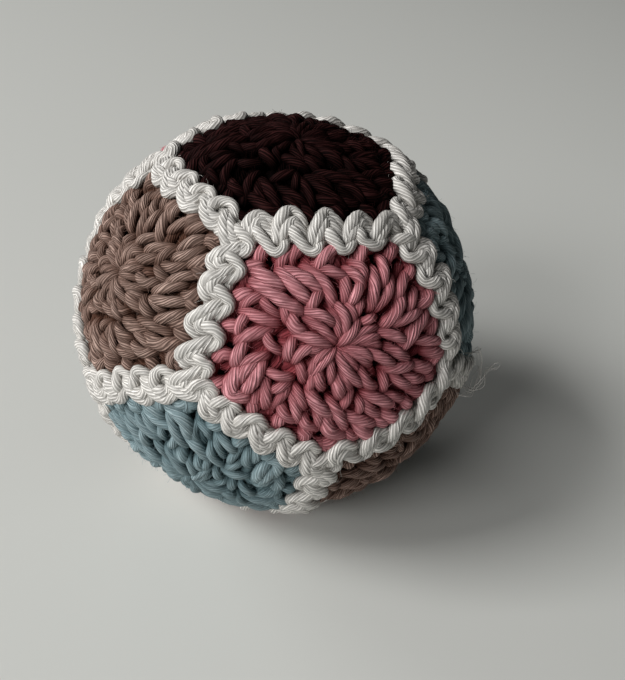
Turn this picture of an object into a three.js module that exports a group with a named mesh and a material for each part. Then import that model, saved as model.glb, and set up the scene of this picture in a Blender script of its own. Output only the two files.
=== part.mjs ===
// A stuffed crochet ball: twelve crocheted pentagon panels in four cotton colours, joined along
// their thirty edges by a white crocheted seam, over a core of fibre stuffing.
// Millimetres, +Z up. The origin is under the ball's centre, on the surface that it stands on.

import * as THREE from 'three';
import { mergeVertices } from 'three/addons/utils/BufferGeometryUtils.js';

// The whole ball, over the seams, and the cotton yarn that it is worked in.
const ballDiameter = 81;
const yarnDiameter = 2.3;

// The gap that stands for the touching yarns of two neighbours.
const clearance = 0.3;

// A panel: its thickness, and how far the ball's pressed underside is flattened.
const panelThickness = 3.6;
const footDepth = 0.5;

// The rounds of a panel, measured over its surface from its middle.
const magicRingReach = 2.2;
const roundOneReach = 9;
const roundGapWidth = 1.3;

// How deep the middle, the gap between the rounds, the corner holes and the stitches are.
const magicRingDepth = 1.3;
const roundGapDepth = 1;
const cornerHoleDepth = 0.9;
const stitchRelief = 0.6;

// A seam: its width over the V stitches, the stem between the panels, and its relief.
const seamWidth = 7.4;
const seamStemWidth = 2.2;
const seamRise = 1.1;
const seamGrooveDepth = 0.95;
const seamPartingDepth = 0.45;
const seamSlant = 2.8;

// Stitches: round one in a panel, round two along one side with its corner, and V's in a seam.
const roundOneStitches = 10;
const roundTwoStitchesASide = 5;
const seamStitches = 5;

// The turn of the ring of upper panels about the upright axis, in degrees.
const frontPanelTurn = -74.8;

// Where the handmade seams wander: the panels that meet at a place, the panel that the place is
// drawn towards, and how far, as a share of the ball's radius.
const wanderShares = [
  { at: ['top', 'front'], towards: 'front', share: 0.084 },
  { at: ['top', 'left'], towards: 'left', share: 0.061 },
  { at: ['top', 'left', 'front'], towards: 'top', share: 0.048 },
  { at: ['top', 'left', 'back_left'], towards: 'left', share: 0.007 },
  { at: ['front', 'left'], towards: 'front', share: 0.027 },
  { at: ['front', 'right'], towards: 'right', share: 0.084 },
  { at: ['left', 'low_front'], towards: 'left', share: 0.045 },
  { at: ['front', 'low_front'], towards: 'front', share: 0.021 },
  { at: ['front', 'low_front_right'], towards: 'low_front_right', share: 0.081 },
  { at: ['front', 'low_front', 'low_front_right'], towards: 'front', share: 0.103 },
  { at: ['front', 'low_front', 'low_front_right'], towards: 'low_front', share: 0.024 },
  { at: ['front', 'low_front_right', 'right'], towards: 'right', share: 0.021 },
];
// How far round the ball a wander reaches before it has faded to three fifths, in degrees.
const wanderSpread = 17;

// What a V stitch does along its length: groove, crest and the fall behind the crest.
const stitchRiseShares = [0, 1, 0.7];
// How far out the edge of the seam lies beside a groove, and where its arms are highest.
const grooveWidthShare = 0.8;
const armCrestShare = 0.52;
// How high the seam's outer edge is lifted off the panels, as a share of the yarn.
const edgeLiftShare = 0.25;
// Where the posts of round two begin, swell and end, between the gap and the seam.
const postReachShares = [0.08, 0.4, 0.85];
// How much of the stitch relief the posts have at those places.
const postReliefShares = [0.4, 1, 0.7];

const panelSides = 5;
const sideAngle = (2 * Math.PI) / panelSides;
const neighbourAngle = Math.acos(1 / Math.sqrt(5));
const inradiusAngle = neighbourAngle / 2;
const halfEdgeAngle = Math.asin(1 / (Math.sqrt(3) * (1 + Math.sqrt(5)) / 2));
const mitreAngle = Math.PI / 3;

const ballRadius = ballDiameter / 2;
const underSeamRadius = ballRadius - yarnDiameter;
const rimRadius = underSeamRadius - clearance;
const panelRadius = ballRadius - seamRise;
const innerRadius = panelRadius - panelThickness;
const footHeight = panelRadius + stitchRelief - footDepth;
const gapAngle = clearance / innerRadius;
const stemAngle = seamStemWidth / 2 / rimRadius;
const capAngle = seamWidth / 2 / ballRadius;

const cottonColours = {
  rose: 0xc98890,
  teal: 0x7f9fa8,
  taupe: 0x96806f,
  oxblood: 0x33191a,
  white: 0xe9e5da,
  stuffing: 0xf3f1ea,
};

// Panels from the top down: a name, a colour, and the place in its ring.
const panels = [
  { name: 'top', colour: 'oxblood', polar: 0, turn: 0 },
  { name: 'front', colour: 'rose', polar: 1, turn: 0 },
  { name: 'right', colour: 'teal', polar: 1, turn: 1 },
  { name: 'back_right', colour: 'taupe', polar: 1, turn: 2 },
  { name: 'back_left', colour: 'rose', polar: 1, turn: 3 },
  { name: 'left', colour: 'taupe', polar: 1, turn: 4 },
  { name: 'low_front_right', colour: 'taupe', polar: 2, turn: 0.5 },
  { name: 'low_back_right', colour: 'oxblood', polar: 2, turn: 1.5 },
  { name: 'low_back', colour: 'teal', polar: 2, turn: 2.5 },
  { name: 'low_left', colour: 'oxblood', polar: 2, turn: 3.5 },
  { name: 'low_front', colour: 'teal', polar: 2, turn: 4.5 },
  { name: 'bottom', colour: 'rose', polar: 3, turn: 0 },
];

// The direction of a panel's middle from the ball's centre, on an even ball.
function panelDirection(panel) {
  const polarAngles = [0, neighbourAngle, Math.PI - neighbourAngle, Math.PI];
  const turn = THREE.MathUtils.degToRad(frontPanelTurn) + panel.turn * sideAngle;
  const polar = polarAngles[panel.polar];
  const across = Math.sin(polar);
  return new THREE.Vector3(across * Math.cos(turn), across * Math.sin(turn), Math.cos(polar));
}

// The direction of the place where the named panels meet.
function meetingDirection(names) {
  const sum = new THREE.Vector3();
  panels.filter((panel) => names.includes(panel.name)).forEach((panel) => sum.add(panelDirection(panel)));
  return sum.normalize();
}

const pulls = wanderShares.map(({ at, towards, share }) => {
  const place = meetingDirection(at);
  return { place, way: meetingDirection([towards]).projectOnPlane(place).setLength(share) };
});

// A point of the even ball, moved round the ball's centre to where the handmade one has it.
function wandered(point) {
  const from = point.clone().normalize();
  const to = from.clone();
  pulls.forEach(({ place, way }) => {
    const spreads = from.angleTo(place) / THREE.MathUtils.degToRad(wanderSpread);
    to.addScaledVector(way, Math.exp((-spreads * spreads) / 2));
  });
  return to.setLength(point.length());
}

// A point of a panel that faces +Z: its angle from the middle, its bearing and its radius.
function panelPoint(reach, bearing, radius) {
  const across = radius * Math.sin(reach);
  return [across * Math.cos(bearing), across * Math.sin(bearing), radius * Math.cos(reach)];
}

// How far a panel reaches at a bearing when it stays a given angle inside its edges.
function edgeReach(bearing, inset) {
  const fromCorner = bearing - sideAngle * Math.floor(bearing / sideAngle);
  const a = Math.cos(inradiusAngle) * Math.cos(fromCorner - sideAngle / 2);
  const b = Math.sin(inradiusAngle);
  return Math.atan2(b, a) - Math.asin(Math.sin(inset) / Math.hypot(a, b));
}

// A point of a seam that runs along +X under +Z: its angles along and across, and its radius.
function seamPoint(along, across, radius) {
  const level = radius * Math.cos(across);
  return [level * Math.sin(along), radius * Math.sin(across), level * Math.cos(along)];
}

// Collects points and triangles, and closes them into one body.
class Skin {
  constructor() {
    this.points = [];
    this.faces = [];
  }

  row(points) {
    const first = this.points.length;
    this.points.push(...points);
    return points.map((point, index) => first + index);
  }

  ring(points) {
    const row = this.row(points);
    return [...row, row[0]];
  }

  // Triangles between two rows that run the same way, whatever their counts.
  zip(a, b) {
    let i = 0;
    let j = 0;
    while (i < a.length - 1 || j < b.length - 1) {
      const nextA = (i + 1) / (a.length - 1);
      const nextB = (j + 1) / (b.length - 1);
      if (nextA <= nextB) {
        this.faces.push(a[i], b[j], a[i + 1]);
        i += 1;
      } else {
        this.faces.push(a[i], b[j], b[j + 1]);
        j += 1;
      }
    }
  }

  geometry() {
    const geometry = new THREE.BufferGeometry();
    geometry.setAttribute('position', new THREE.Float32BufferAttribute(this.points.flat(), 3));
    geometry.setIndex(this.faces);
    geometry.computeVertexNormals();
    return geometry;
  }
}

// The rounds of a panel, from the middle out to the rim and back under it. Each ring has its
// count of points, its reach at a bearing, and its radius at a point.
function panelRings() {
  const onSurface = (length) => length / panelRadius;
  const rimInset = stemAngle + gapAngle;
  const shelfInset = capAngle + gapAngle;
  const postsStart = onSurface(roundOneReach + roundGapWidth);
  const sideCount = 2 * roundTwoStitchesASide;
  const stitchRadius = (index, share) => panelRadius + stitchRelief * share * (index % 2 === 0 ? 1 : -1);
  const petalRadius = (index) => stitchRadius(index, 1);
  const postRadius = (share) => (index) => {
    if (index % sideCount === 0) return panelRadius - cornerHoleDepth * share;
    return stitchRadius(index, share);
  };
  const postCount = panelSides * sideCount;
  const rimCount = panelSides * roundTwoStitchesASide;
  const petalCount = 2 * roundOneStitches;
  const shelfReach = (bearing) => edgeReach(bearing, shelfInset);
  const postsReach = (share) => (bearing) => THREE.MathUtils.lerp(postsStart, shelfReach(bearing), share);
  const posts = postReachShares.map((share, place) => {
    return [postCount, postsReach(share), postRadius(postReliefShares[place])];
  });
  const rimReach = (bearing) => edgeReach(bearing, rimInset);
  return {
    outer: [
      [1, () => 0, () => panelRadius - magicRingDepth],
      [roundOneStitches, () => onSurface(magicRingReach), () => panelRadius - stitchRelief],
      [petalCount, () => onSurface((magicRingReach + roundOneReach) / 2), petalRadius],
      [petalCount, () => onSurface(roundOneReach), petalRadius],
      [petalCount, () => onSurface(roundOneReach + roundGapWidth / 2), () => panelRadius - roundGapDepth],
      ...posts,
      [rimCount, shelfReach, () => rimRadius],
      [rimCount, rimReach, () => rimRadius],
    ],
    inner: [
      [rimCount, rimReach, () => innerRadius],
      [roundOneStitches, (bearing) => rimReach(bearing) / 2, () => innerRadius],
      [1, () => 0, () => innerRadius],
    ],
  };
}

// One panel, facing +Z with a corner at +X. The panel that the ball stands on is pressed flat.
function panelGeometry(pressed) {
  const skin = new Skin();
  const rings = panelRings();
  const flatReach = Math.acos(footHeight / (panelRadius + stitchRelief));
  const ringRow = (count, reachAt, radiusAt, mayPress) => {
    const points = [];
    for (let index = 0; index < count; index += 1) {
      const bearing = (index / count) * 2 * Math.PI;
      const reach = reachAt(bearing);
      const flat = footHeight / Math.cos(reach);
      const radius = mayPress && reach <= flatReach ? flat : radiusAt(index);
      points.push(panelPoint(reach, bearing, radius));
    }
    return count === 1 ? skin.row(points) : skin.ring(points);
  };
  const rows = [
    ...rings.outer.map(([count, reachAt, radiusAt]) => ringRow(count, reachAt, radiusAt, pressed)),
    ...rings.inner.map(([count, reachAt, radiusAt]) => ringRow(count, reachAt, radiusAt, false)),
  ];
  for (let index = 1; index < rows.length; index += 1) skin.zip(rows[index - 1], rows[index]);
  return skin.geometry();
}

// One seam, along +X under +Z. Ten rails run from end to end round a mushroom section: a cap of
// V stitches over the rims of two panels, and a stem between their walls. Both ends are mitred
// to meet two other seams where three panels meet.
function seamGeometry() {
  const skin = new Skin();
  const mitreGap = clearance / 2 / Math.sin(mitreAngle) / innerRadius;
  const rail = (side, steps, acrossAt, radiusAt, slant) => {
    const points = [];
    for (let step = 0; step <= steps; step += 1) {
      const share = step / steps;
      const across = acrossAt(step);
      const half = halfEdgeAngle - mitreGap - Math.asin(Math.tan(across) / Math.tan(mitreAngle));
      const lean = (slant / ballRadius) * (across / capAngle) * Math.sin(Math.PI * share);
      points.push(seamPoint(half * (2 * share - 1) + lean, -side * across, radiusAt(step)));
    }
    return skin.row(points);
  };
  const rowsAStitch = stitchRiseShares.length;
  const capSteps = seamStitches * rowsAStitch;
  const stemSteps = seamStitches;
  const rise = (step) => stitchRiseShares[step % rowsAStitch];
  const capCrest = (step) => ballRadius - seamGrooveDepth * (1 - rise(step));
  const capMiddle = (step) => capCrest(step) - seamPartingDepth;
  const edgeAcross = (step) => capAngle * THREE.MathUtils.lerp(grooveWidthShare, 1, rise(step));
  const edgeRadius = () => underSeamRadius + yarnDiameter * edgeLiftShare;
  const capRail = (side, acrossAt, radiusAt) => rail(side, capSteps, acrossAt, radiusAt, seamSlant);
  const stemRail = (side, across, radius) => rail(side, stemSteps, () => across, () => radius, 0);
  const rails = [
    capRail(1, () => 0, capMiddle),
    capRail(1, () => capAngle * armCrestShare, capCrest),
    capRail(1, edgeAcross, edgeRadius),
    stemRail(1, stemAngle, underSeamRadius),
    stemRail(1, stemAngle, innerRadius),
    stemRail(1, 0, innerRadius),
    stemRail(-1, stemAngle, innerRadius),
    stemRail(-1, stemAngle, underSeamRadius),
    capRail(-1, edgeAcross, edgeRadius),
    capRail(-1, () => capAngle * armCrestShare, capCrest),
  ];
  for (let index = 0; index < rails.length; index += 1) {
    skin.zip(rails[index], rails[(index + 1) % rails.length]);
  }
  for (let index = 1; index < rails.length - 1; index += 1) {
    const [start, near, far] = [rails[0], rails[index], rails[index + 1]];
    skin.faces.push(start[0], far[0], near[0]);
    skin.faces.push(start.at(-1), near.at(-1), far.at(-1));
  }
  return skin.geometry();
}

// The distance from the ball's centre to the nearest point of a panel's inside.
function insideRadius(panel) {
  const facet = new THREE.Triangle();
  const middle = new THREE.Vector3();
  const nearest = new THREE.Vector3();
  const position = panel.getAttribute('position');
  const index = panel.getIndex();
  let least = innerRadius;
  for (let face = 0; face < index.count; face += 3) {
    const corners = [0, 1, 2].map((side) => {
      return new THREE.Vector3().fromBufferAttribute(position, index.getX(face + side));
    });
    const inside = corners.every((point) => point.length() < innerRadius + clearance / 2);
    if (!inside) continue;
    facet.set(...corners).closestPointToPoint(middle, nearest);
    least = Math.min(least, nearest.length());
  }
  return least;
}

// The stuffing fills the ball up to the panels.
function stuffingGeometry(panelSkins) {
  const radius = Math.min(...panelSkins.map(insideRadius)) - clearance;
  const geometry = new THREE.IcosahedronGeometry(radius, 3);
  geometry.deleteAttribute('normal');
  geometry.deleteAttribute('uv');
  const closed = mergeVertices(geometry);
  closed.computeVertexNormals();
  return closed;
}

// A skin turned so that its +Z and +X point along two directions at right angles, and then laid
// where the handmade ball has it.
function laid(geometry, up, forward) {
  const sideways = new THREE.Vector3().crossVectors(up, forward);
  const skin = geometry.clone().applyMatrix4(new THREE.Matrix4().makeBasis(forward, sideways, up));
  const position = skin.getAttribute('position');
  const point = new THREE.Vector3();
  for (let index = 0; index < position.count; index += 1) {
    const moved = wandered(point.fromBufferAttribute(position, index));
    position.setXYZ(index, moved.x, moved.y, moved.z);
  }
  skin.computeVertexNormals();
  return skin;
}

function named(name, geometry, colour) {
  const material = new THREE.MeshStandardMaterial({
    color: cottonColours[colour],
    roughness: 0.9,
    metalness: 0,
  });
  const mesh = new THREE.Mesh(geometry, material);
  mesh.name = name;
  return mesh;
}

// The direction of a panel's corner, seen from its middle.
function cornerDirection(up, neighbour) {
  const towards = neighbour.clone().projectOnPlane(up).normalize();
  return towards.applyAxisAngle(up, sideAngle / 2);
}

const ball = new THREE.Group();
ball.position.z = footHeight;

const directions = panels.map(panelDirection);
const touching = (a, b) => a !== b && a.angleTo(b) < Math.PI / 2;
const plainPanel = panelGeometry(false);
const pressedPanel = panelGeometry(true);
const panelSkins = panels.map((panel, index) => {
  const up = directions[index];
  const forward = cornerDirection(up, directions.find((other) => touching(up, other)));
  return laid(panel.name === 'bottom' ? pressedPanel : plainPanel, up, forward);
});
panels.forEach((panel, index) => {
  ball.add(named(`panel_${panel.name}`, panelSkins[index], panel.colour));
});

const seam = seamGeometry();
panels.forEach((panel, index) => {
  for (let other = index + 1; other < panels.length; other += 1) {
    const [here, there] = [directions[index], directions[other]];
    if (!touching(here, there)) continue;
    const up = here.clone().add(there).normalize();
    const along = new THREE.Vector3().crossVectors(here, there).normalize();
    ball.add(named(`seam_${panel.name}_to_${panels[other].name}`, laid(seam, up, along), 'white'));
  }
});

ball.add(named('stuffing_core', stuffingGeometry(panelSkins), 'stuffing'));

export default ball;
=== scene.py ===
import itertools
import math
import bpy
import numpy as np
from mathutils import Matrix, Vector


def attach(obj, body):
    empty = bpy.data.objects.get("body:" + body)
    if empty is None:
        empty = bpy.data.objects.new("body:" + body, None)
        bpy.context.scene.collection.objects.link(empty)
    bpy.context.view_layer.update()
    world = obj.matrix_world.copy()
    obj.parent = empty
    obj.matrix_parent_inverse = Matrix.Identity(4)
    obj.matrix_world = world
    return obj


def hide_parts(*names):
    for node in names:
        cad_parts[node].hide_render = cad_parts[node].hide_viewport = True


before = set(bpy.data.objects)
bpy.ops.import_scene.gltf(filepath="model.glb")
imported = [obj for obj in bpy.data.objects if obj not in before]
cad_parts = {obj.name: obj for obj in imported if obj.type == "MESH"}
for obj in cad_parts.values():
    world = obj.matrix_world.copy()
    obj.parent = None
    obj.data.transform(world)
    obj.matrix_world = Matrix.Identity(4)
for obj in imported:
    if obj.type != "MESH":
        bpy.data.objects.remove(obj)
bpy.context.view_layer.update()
scene = bpy.context.scene
scene.view_settings.view_transform = "Standard"
scene.view_settings.look = "None"

# Camera
# The photograph looks down on the ball from the front and from close by, about two of its widths
# away. It holds the ball a little turned and off the middle of the picture.
BALL_CENTRE = Vector((0, 0, 0.0395))
CAMERA_ELEVATION = math.radians(34.4)
CAMERA_DISTANCE = 0.1872
CAMERA_TURNS = (("Z", 6.4), ("Y", -2.19), ("X", -1.71))    # about its own axes, degrees
LENS = 47.8                                                # mm
SENSOR_WIDTH = 36                                          # mm
NEAREST_SEEN = 0.005
camera_data = bpy.data.cameras.new("camera")
camera_data.lens = LENS
camera_data.sensor_width = SENSOR_WIDTH
camera_data.clip_start = NEAREST_SEEN
camera = bpy.data.objects.new("camera", camera_data)
scene.collection.objects.link(camera)
scene.camera = camera
towards_camera = Vector((0, -math.cos(CAMERA_ELEVATION), math.sin(CAMERA_ELEVATION)))
camera_pose = Matrix.Translation(BALL_CENTRE + CAMERA_DISTANCE * towards_camera)
camera_pose = camera_pose @ towards_camera.to_track_quat("Z", "Y").to_matrix().to_4x4()
for axis, degrees in CAMERA_TURNS:
    camera_pose = camera_pose @ Matrix.Rotation(math.radians(degrees), 4, axis)
camera.matrix_world = camera_pose

# Crocheted panels
# Twelve pentagons in thick cotton, each worked outwards from a drawn-up ring in two rounds of
# tall stitches. A stitch is one strand that climbs, turns over at its top and comes down again.
MM = 0.001
YARN = 1.15              # radius of a plump strand, mm
PANEL_RADIUS = 39.4      # of the ball over its panels, mm
STRAND_RADIUS = 38.75    # where a strand's middle lies when its lift is 0, mm
BALL_RADIUS = 40.5       # over the seams, mm
# Each cotton: its colour where it stands out, and the painted shade colour it takes where it lies
# deep; how near the painted shade in the furrows between its plies leaves them to the first; plies,
# how far these stray, twist in turns a metre, sheen, roughness, specular level.
COTTON_KINDS = {
    "rose": ((0.71, 0.332, 0.362), (0.37, 0.035, 0.048), 0.58, 12, 1.8, -70.0, 0.04, 0.6, 0.05),
    "teal": ((0.335, 0.422, 0.448), (0.155, 0.258, 0.286), 0.68, 12, 1.8, -70.0, 0.04, 0.6, 0.05),
    "taupe": ((0.425, 0.3, 0.254), (0.13, 0.044, 0.02), 0.37, 13, 1.8, -70.0, 0.04, 0.6, 0.04),
    "oxblood": ((0.04, 0.0125, 0.0122), (0.001, 0.0, 0.0), 0.2, 12, 1.8, -70.0, 0.0, 0.6, 0.02),
    "white": ((0.82, 0.788, 0.75), (0.34, 0.32, 0.28), 0.6, 10, 1.0, -95.0, 0.12, 0.33, 0.5),
}
SIDES = 5                # of a panel
FIFTH = math.radians(360 / SIDES)
RING_ANGLES = (0, 63.435, 116.565, 180)    # of the rings of panels from the top, degrees
SIDE_ANGLE = math.radians(31.717)          # from a panel's middle to the middle of its side
FRONT_TURN = math.radians(-74.8)           # bearing of the front panel's middle
# Each panel: its cotton, its ring, its turn in fifths, and the neighbours at its first corner.
PANELS = {
    "top": ("oxblood", 0, 0, ("front", "right")),
    "front": ("rose", 1, 0, ("left", "top")),
    "right": ("teal", 1, 1, ("front", "top")),
    "back_right": ("taupe", 1, 2, ("low_back_right", "right")),
    "back_left": ("rose", 1, 3, ("back_right", "low_back")),
    "left": ("taupe", 1, 4, ("back_left", "top")),
    "low_front_right": ("taupe", 2, 0.5, ("front", "right")),
    "low_back_right": ("oxblood", 2, 1.5, ("back_right", "right")),
    "low_back": ("teal", 2, 2.5, ("back_right", "low_back_right")),
    "low_left": ("oxblood", 2, 3.5, ("back_left", "low_back")),
    "low_front": ("teal", 2, 4.5, ("left", "low_left")),
    "bottom": ("rose", 3, 0, ("low_front", "low_front_right")),
}
NEAR = 0.3               # the cosine between the directions of two neighbours is over this


def unit(v):
    return v / np.linalg.norm(v)


def panel_direction(ring, turn):
    """Where a panel's middle lies from the ball's centre."""
    from_top = math.radians(RING_ANGLES[ring])
    azimuth = FRONT_TURN + turn * FIFTH
    across = math.sin(from_top)
    return np.array((across * math.cos(azimuth), across * math.sin(azimuth), math.cos(from_top)))


DIRECTIONS = {name: panel_direction(*PANELS[name][1:3]) for name in PANELS}
PAIRS = itertools.combinations(PANELS, 2)
JOINS = [(a, b) for a, b in PAIRS if DIRECTIONS[a] @ DIRECTIONS[b] > NEAR]


# Handmade seams wander: panels that meet at a place, the panel it is drawn towards, how far.
WANDER = (
    (("top", "front"), "front", 0.084),
    (("top", "left"), "left", 0.061),
    (("top", "left", "front"), "top", 0.048),
    (("top", "left", "back_left"), "left", 0.007),
    (("front", "left"), "front", 0.027),
    (("front", "right"), "right", 0.084),
    (("left", "low_front"), "left", 0.045),
    (("front", "low_front"), "front", 0.021),
    (("front", "low_front_right"), "low_front_right", 0.081),
    (("front", "low_front", "low_front_right"), "front", 0.103),
    (("front", "low_front", "low_front_right"), "low_front", 0.024),
    (("front", "low_front_right", "right"), "right", 0.021),
)
WANDER_SPREAD = math.radians(17)


def wandered(directions):
    """Directions on an even ball, moved to where the handmade one has them."""
    moved = directions.copy()
    for names, towards, share in WANDER:
        place = unit(sum(DIRECTIONS[n] for n in names))
        way = DIRECTIONS[towards] - DIRECTIONS[towards] @ place * place
        spreads = np.arccos(np.clip(directions @ place, -1, 1)) / WANDER_SPREAD
        moved += np.exp(-spreads ** 2 / 2)[:, None] * unit(way) * share
    return moved / np.linalg.norm(moved, axis=1)[:, None]


TINY = 1e-9              # keeps the very middle of a panel from a division by zero


def on_panel(name, flat):
    """Rows of (x, y, lift, ...) in mm on a flattened panel to points round the ball, in metres."""
    up = DIRECTIONS[name]
    first_corner = unit(up + sum(DIRECTIONS[other] for other in PANELS[name][3]))
    forward = unit(first_corner - first_corner @ up * up)
    side = np.cross(up, forward)
    reach = np.hypot(flat[:, 0], flat[:, 1]) + TINY
    angle = reach / PANEL_RADIUS
    outward = (flat[:, :1] * forward + flat[:, 1:2] * side) / reach[:, None]
    direction = np.cos(angle)[:, None] * up + np.sin(angle)[:, None] * outward
    return np.array(BALL_CENTRE) + (STRAND_RADIUS + flat[:, 2:3]) * MM * wandered(direction)


def smooth_path(points, steps=5, closed=False):
    """A smooth run of rows through the rows of points."""
    p = np.asarray(points, float)
    if closed:
        p = np.vstack([p[-1], p, p[0], p[1]])
    else:
        p = np.vstack([2 * p[0] - p[1], p, 2 * p[-1] - p[-2]])
    rows = []
    for a, b, c, d in zip(p, p[1:], p[2:], p[3:]):
        slope = c - a
        bend = 2 * a - 5 * b + 4 * c - d
        swing = 3 * b - a - 3 * c + d
        for i in range(steps):
            t = i / steps
            rows.append(0.5 * (2 * b + slope * t + bend * t * t + swing * t ** 3))
    rows.append(rows[0] if closed else p[-2])
    return np.array(rows)


def edge_reach(bearing, inset):
    """How far a panel reaches at a bearing, in mm, staying that far inside its sides."""
    from_corner = bearing % FIFTH
    a = math.cos(SIDE_ANGLE) * math.cos(from_corner - FIFTH / 2)
    b = math.sin(SIDE_ANGLE)
    inside = math.asin(math.sin(inset / PANEL_RADIUS) / math.hypot(a, b))
    return PANEL_RADIUS * (math.atan2(b, a) - inside)


def polar(reach, bearing):
    return np.array((reach * math.cos(bearing), reach * math.sin(bearing)))


UNEVEN = 0.04            # how far a strand's thickness varies, as a share of it
FULL_TURN = 6.28         # radians


class Strands:
    """Collects strands as chains of points, and one backing of faces, for the yarn tree."""

    def __init__(self, seed):
        self.rng = np.random.default_rng(seed)
        self.points, self.edges, self.faces = [], [], []
        self.thick, self.shade, self.turn, self.fabric = [], [], [], []

    def chain(self, points, thick):
        first = len(self.points)
        self.points += [tuple(p) for p in points]
        self.edges += [(first + i, first + i + 1) for i in range(len(points) - 1)]
        self.thick += list(thick * self.rng.normal(1, UNEVEN, len(points)))
        self.shade += [self.rng.uniform(0, 1)] * len(points)
        self.turn += [self.rng.uniform(0, FULL_TURN)] * len(points)
        self.fabric += [False] * len(points)

    def backing(self, points, faces):
        first = len(self.points)
        self.points += [tuple(p) for p in points]
        self.faces += [[first + i for i in f] for f in faces]
        self.thick += [0.0] * len(points)
        self.shade += [0.5] * len(points)
        self.turn += [0.0] * len(points)
        self.fabric += [True] * len(points)

    def mesh(self, name):
        me = bpy.data.meshes.new(name)
        me.from_pydata(self.points, self.edges, self.faces)
        for key, values in (("thick", self.thick), ("shade", self.shade), ("turn", self.turn)):
            me.attributes.new(key, "FLOAT", "POINT").data.foreach_set("value", values)
        me.attributes.new("fabric", "BOOLEAN", "POINT").data.foreach_set("value", self.fabric)
        return me


def fill(tree, node, inputs):
    """Gives a node's inputs their values, or links them to the sockets given."""
    for key, value in inputs.items():
        if isinstance(value, bpy.types.NodeSocket):
            tree.links.new(value, node.inputs[key])
        else:
            node.inputs[key].default_value = value


def add(tree, kind, inputs, **settings):
    """Adds a node with those inputs and settings, and gives its outputs."""
    node = tree.nodes.new(kind)
    for key, value in settings.items():
        setattr(node, key, value)
    fill(tree, node, inputs)
    return node.outputs


def new_tree(name, kind, outputs, inputs):
    """An empty node group with those sockets, and what comes in by them."""
    tree = bpy.data.node_groups.new(name, kind)
    for way, sockets in (("OUTPUT", outputs), ("INPUT", inputs)):
        for label, socket in sockets.items():
            tree.interface.new_socket(label, in_out=way, socket_type="NodeSocket" + socket)
    return tree, add(tree, "NodeGroupInput", {})


HAIR_STEPS = 3
HAIR_SIDES = 3
HAIR_RADIUS = 0.012            # as a share of its length
HAIR_SHAPE = {"Start": (0, 0, -0.1), "Middle": (0.15, 0.0, 0.45), "End": (0.65, 0.05, 0.55)}
HAIR_LEAN = (0.9, 0.9, 3.1)    # how far it may turn about each axis, radians
HAIR_LENGTHS = (0.35, 1.3)     # shortest and longest, as shares of the length asked for
HAIR_SEED = 1


def stray_fibres():
    """Short hairs that stand off a surface here and there."""
    tree, given = new_tree(
        "stray fibres", "GeometryNodeTree", {"Geometry": "Geometry"},
        {
            "Surface": "Geometry", "Density": "Float", "Length": "Float", "Thickness": "Float",
            "Seed": "Int", "Material": "Material",
        },
    )
    scatter = add(tree, "GeometryNodeDistributePointsOnFaces", {
        "Mesh": given["Surface"], "Density": given["Density"], "Seed": given["Seed"],
    })
    hair = add(tree, "GeometryNodeCurveQuadraticBezier", {"Resolution": HAIR_STEPS, **HAIR_SHAPE})
    section = add(tree, "GeometryNodeCurvePrimitiveCircle", {
        "Resolution": HAIR_SIDES, "Radius": given["Thickness"],
    })
    tube = add(tree, "GeometryNodeCurveToMesh", {
        "Curve": hair["Curve"], "Profile Curve": section["Curve"],
    })
    lean = add(tree, "FunctionNodeRandomValue", {
        "Min": [-angle for angle in HAIR_LEAN], "Max": HAIR_LEAN,
    }, data_type="FLOAT_VECTOR")
    euler = add(tree, "FunctionNodeEulerToRotation", {"Euler": lean["Value"]})
    turned = add(tree, "FunctionNodeRotateRotation", {
        "Rotation": scatter["Rotation"], "Rotate By": euler["Rotation"],
    }, rotation_space="LOCAL")
    # Its inputs 2 and 3 are the least and the most of a single number, and output 1 gives it.
    size = add(tree, "FunctionNodeRandomValue", {
        2: HAIR_LENGTHS[0], 3: HAIR_LENGTHS[1], "Seed": given["Seed"],
    }, data_type="FLOAT")
    scaled = add(tree, "ShaderNodeMath", {0: size[1], 1: given["Length"]}, operation="MULTIPLY")
    place = add(tree, "GeometryNodeInstanceOnPoints", {
        "Points": scatter["Points"], "Instance": tube["Mesh"],
        "Rotation": turned["Rotation"], "Scale": scaled["Value"],
    })
    real = add(tree, "GeometryNodeRealizeInstances", {"Geometry": place["Instances"]})
    paint = add(tree, "GeometryNodeSetMaterial", {
        "Geometry": real["Geometry"], "Material": given["Material"],
    })
    add(tree, "NodeGroupOutput", {"Geometry": paint["Geometry"]})
    return tree


STRAY_FIBRES = stray_fibres()


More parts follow.
